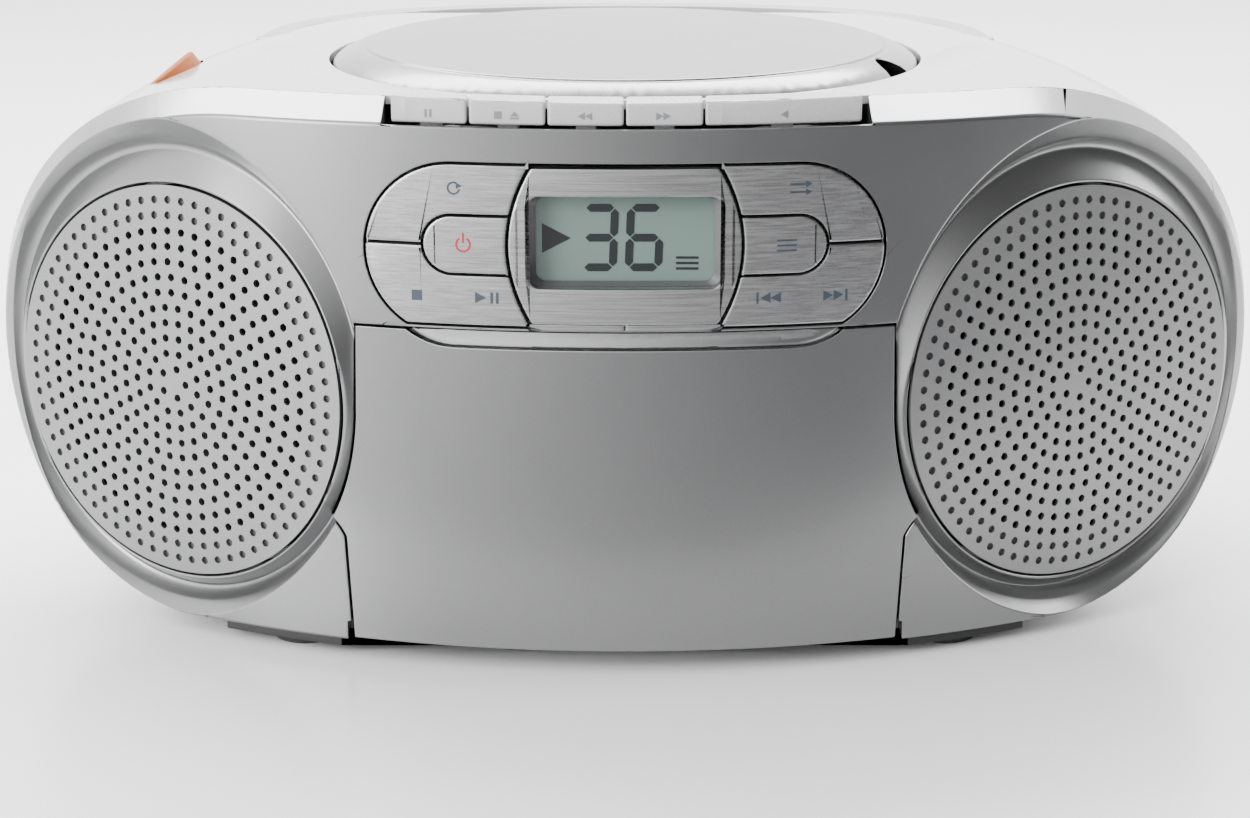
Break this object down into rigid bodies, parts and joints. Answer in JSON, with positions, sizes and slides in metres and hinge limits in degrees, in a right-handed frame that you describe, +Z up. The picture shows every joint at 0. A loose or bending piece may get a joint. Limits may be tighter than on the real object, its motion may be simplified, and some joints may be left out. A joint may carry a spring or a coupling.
{
  "type": "portable cd and cassette player",
  "caption": "Portable disc and cassette player with two round loudspeakers, piano keys, a disc lid, a cassette door and a carry handle.",
  "frame": {"origin": "on the floor, under the middle of the bounding box", "axes": "+X to the listener's right, +Y from the front to the back, +Z up"},
  "size_m": [0.3474, 0.2374, 0.1521],
  "materials": {
    "silver_paint": "metallic silver paint, satin",
    "white_gloss": "gloss white moulding",
    "brushed_silver": "horizontally brushed",
    "lid_silver": "metallic silver paint, gloss",
    "dark_plastic": "black moulding",
    "key_white": "gloss white",
    "orange_plastic": "satin orange",
    "display_glass": "grey-green liquid crystal",
    "steel": "satin",
    "circuit_board": "green laminate",
    "grille_metal": "silver, perforated",
    "rubber_foot": "matt",
    "handle_silver": "satin light grey"
  },
  "bodies": {
    "cabinet": {"base_plate": "dark_plastic", "battery_bay": "dark_plastic", "cd_motor": "steel", "cd_well": "dark_plastic", "control_board": "circuit_board", "display_bezel": "brushed_silver", "display_panel": "display_glass", "door_pin_left": "steel", "door_pin_right": "steel", "foot_fl": "rubber_foot", "foot_fr": "rubber_foot", "foot_rl": "rubber_foot", "foot_rr": "rubber_foot", "front_cabinet": "silver_paint", "grille_left": "grille_metal", "grille_right": "grille_metal", "handle_pin_left": "steel", "handle_pin_right": "steel", "headphone_socket": "dark_plastic", "key_shaft": "steel", "lid_pin_left": "steel", "lid_pin_right": "steel", "main_board": "circuit_board", "mains_inlet": "dark_plastic", "pickup_rail": "steel", "rear_cabinet": "white_gloss", "speaker_driver_left": "dark_plastic", "speaker_driver_right": "dark_plastic", "tape_chassis": "steel", "tape_motor": "steel", "transformer": "steel", "volume_shaft": "steel"},
    "key_pause": {"key_pause": "key_white"},
    "key_stop_eject": {"key_stop_eject": "key_white"},
    "key_rewind": {"key_rewind": "key_white"},
    "key_forward": {"key_forward": "key_white"},
    "key_play": {"key_play": "key_white"},
    "button_repeat": {"button_repeat": "brushed_silver"},
    "button_stop_play": {"button_stop_play": "brushed_silver"},
    "button_power": {"button_power": "brushed_silver"},
    "button_shuffle": {"button_shuffle": "brushed_silver"},
    "button_search": {"button_search": "brushed_silver"},
    "button_program": {"button_program": "brushed_silver"},
    "button_bass": {"button_bass": "orange_plastic"},
    "cd_lid": {"cd_lid": "lid_silver"},
    "cd_turntable": {"cd_turntable": "dark_plastic"},
    "cd_pickup": {"cd_pickup": "dark_plastic"},
    "carry_handle": {"carry_handle": "handle_silver"},
    "battery_door": {"battery_door": "white_gloss"},
    "volume_wheel": {"volume_wheel": "dark_plastic"},
    "source_switch": {"source_switch": "dark_plastic"},
    "reel_supply": {"reel_supply": "key_white"},
    "reel_takeup": {"reel_takeup": "key_white"},
    "capstan_flywheel": {"capstan_flywheel": "steel"},
    "pinch_roller": {"pinch_roller": "rubber_foot"},
    "cassette_door": {"cassette_door": "silver_paint", "cassette_carrier": "dark_plastic"},
    "head_bridge": {"head_bridge": "steel", "tape_head": "steel"}
  },
  "joints": [
    {"name": "door_hinge", "type": "hinge", "parent": "cabinet", "child": "cassette_door", "pos_m": [0, -0.1046, 0.014], "axis": [1, 0, 0], "range_deg": [0, 25]},
    {"name": "lid_hinge", "type": "hinge", "parent": "cabinet", "child": "cd_lid", "pos_m": [0, 0.06, 0.1462], "axis": [-1, 0, 0], "range_deg": [0, 70]},
    {"name": "handle_hinge", "type": "hinge", "parent": "cabinet", "child": "carry_handle", "pos_m": [0, 0.03, 0.1412], "axis": [1, 0, 0], "range_deg": [0, 95]},
    {"name": "battery_door_hinge", "type": "hinge", "parent": "cabinet", "child": "battery_door", "pos_m": [0, 0.1185, 0.04], "axis": [-1, 0, 0], "range_deg": [0, 95]},
    {"name": "volume_turn", "type": "hinge", "parent": "cabinet", "child": "volume_wheel", "pos_m": [0.1566, 0, 0.075], "axis": [0, 0, 1], "range_deg": [0, 300]},
    {"name": "turntable_spin", "type": "hinge", "parent": "cabinet", "child": "cd_turntable", "pos_m": [0, -0.0245, 0.14], "axis": [0, 0, 1], "continuous": true},
    {"name": "capstan_spin", "type": "hinge", "parent": "cabinet", "child": "capstan_flywheel", "pos_m": [-0.012, -0.09, 0.076], "axis": [0, 1, 0], "continuous": true},
    {"name": "supply_spin", "type": "hinge", "parent": "cabinet", "child": "reel_supply", "pos_m": [-0.02125, -0.1, 0.056], "axis": [0, 1, 0], "continuous": true},
    {"name": "takeup_spin", "type": "hinge", "parent": "cabinet", "child": "reel_takeup", "pos_m": [0.02125, -0.1, 0.056], "axis": [0, 1, 0], "continuous": true},
    {"name": "pinch_spin", "type": "hinge", "parent": "head_bridge", "child": "pinch_roller", "pos_m": [-0.014, -0.1, 0.0856], "axis": [0, 1, 0], "continuous": true},
    {"name": "head_bridge_slide", "type": "slide", "parent": "cabinet", "child": "head_bridge", "axis": [0, 0, -1], "range_m": [0, 0.0035]},
    {"name": "pickup_slide", "type": "slide", "parent": "cabinet", "child": "cd_pickup", "axis": [1, 0, 0], "range_m": [0, 0.021]},
    {"name": "source_slide", "type": "slide", "parent": "cabinet", "child": "source_switch", "axis": [0, 1, 0], "range_m": [-0.004, 0.004]},
    {"name": "key_pause_press", "type": "hinge", "parent": "cabinet", "child": "key_pause", "pos_m": [0, -0.097, 0.1386], "axis": [1, 0, 0], "range_deg": [0, 7], "stiffness_Nm_per_rad": 0.25, "springref_deg": -5.73},
    {"name": "key_stop_eject_press", "type": "hinge", "parent": "cabinet", "child": "key_stop_eject", "pos_m": [0, -0.097, 0.1386], "axis": [1, 0, 0], "range_deg": [0, 7], "stiffness_Nm_per_rad": 0.25, "springref_deg": -5.73},
    {"name": "key_rewind_press", "type": "hinge", "parent": "cabinet", "child": "key_rewind", "pos_m": [0, -0.097, 0.1386], "axis": [1, 0, 0], "range_deg": [0, 7], "stiffness_Nm_per_rad": 0.25, "springref_deg": -5.73},
    {"name": "key_forward_press", "type": "hinge", "parent": "cabinet", "child": "key_forward", "pos_m": [0, -0.097, 0.1386], "axis": [1, 0, 0], "range_deg": [0, 7], "stiffness_Nm_per_rad": 0.25, "springref_deg": -5.73},
    {"name": "key_play_press", "type": "hinge", "parent": "cabinet", "child": "key_play", "pos_m": [0, -0.097, 0.1386], "axis": [1, 0, 0], "range_deg": [0, 7], "stiffness_Nm_per_rad": 0.25, "springref_deg": -5.73},
    {"name": "button_repeat_press", "type": "slide", "parent": "cabinet", "child": "button_repeat", "axis": [0, 1, 0], "range_m": [0, 0.0012], "stiffness_N_per_m": 500, "springref_m": -0.0005},
    {"name": "button_stop_play_press", "type": "slide", "parent": "cabinet", "child": "button_stop_play", "axis": [0, 1, 0], "range_m": [0, 0.0012], "stiffness_N_per_m": 500, "springref_m": -0.0005},
    {"name": "button_power_press", "type": "slide", "parent": "cabinet", "child": "button_power", "axis": [0, 1, 0], "range_m": [0, 0.0012], "stiffness_N_per_m": 500, "springref_m": -0.0005},
    {"name": "button_shuffle_press", "type": "slide", "parent": "cabinet", "child": "button_shuffle", "axis": [0, 1, 0], "range_m": [0, 0.0012], "stiffness_N_per_m": 500, "springref_m": -0.0005},
    {"name": "button_search_press", "type": "slide", "parent": "cabinet", "child": "button_search", "axis": [0, 1, 0], "range_m": [0, 0.0012], "stiffness_N_per_m": 500, "springref_m": -0.0005},
    {"name": "button_program_press", "type": "slide", "parent": "cabinet", "child": "button_program", "axis": [0, 1, 0], "range_m": [0, 0.0012], "stiffness_N_per_m": 500, "springref_m": -0.0005},
    {"name": "button_bass_press", "type": "slide", "parent": "cabinet", "child": "button_bass", "axis": [0.6157, 0, -0.788], "range_m": [0, 0.0012], "stiffness_N_per_m": 500, "springref_m": -0.0005}
  ],
  "couplings": [
    {"joint": "key_play_press", "follows": "head_bridge_slide", "rad_per_m": 34.9}
  ]
}
